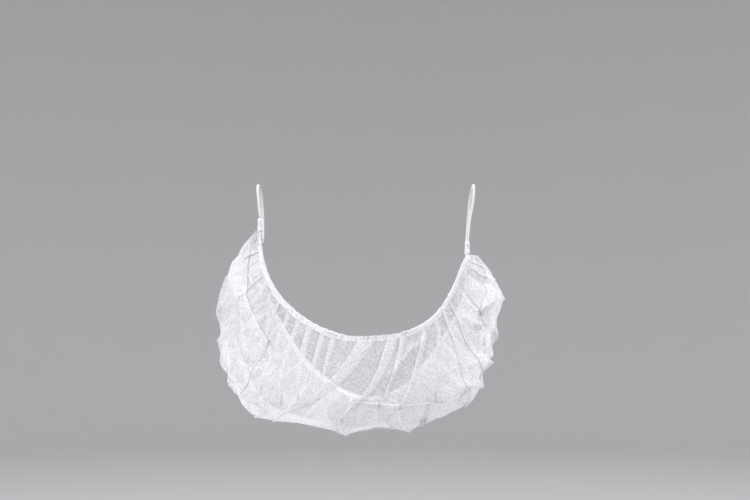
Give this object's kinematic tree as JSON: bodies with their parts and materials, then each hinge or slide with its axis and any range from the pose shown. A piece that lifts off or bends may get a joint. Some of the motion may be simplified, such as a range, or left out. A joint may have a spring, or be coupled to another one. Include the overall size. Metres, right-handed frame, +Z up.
{
  "type": "disposable beard net",
  "caption": "Gathered nonwoven pouch that hangs below the chin between two elastic hems, with an elastic loop round each ear.",
  "frame": {"origin": "midway between the tops of the two ear loops, where the ears carry the net", "axes": "+X towards the wearer's left ear, -Y the way the wearer faces, +Z up"},
  "size_m": [0.1999, 0.1283, 0.1703],
  "materials": {
    "net_cloth": "thin white spunbond nonwoven, half see-through",
    "gathered_hem": "white nonwoven gathered tightly on an elastic thread",
    "bunched_cloth": "white nonwoven bunched and bound",
    "elastic_cord": "white twisted elastic cord"
  },
  "bodies": {
    "root": {"net_pouch": "net_cloth", "face_elastic": "gathered_hem", "neck_elastic": "gathered_hem", "gathered_end_right": "bunched_cloth", "gathered_end_left": "bunched_cloth", "ear_loop_right": "elastic_cord", "ear_loop_left": "elastic_cord"}
  },
  "joints": []
}
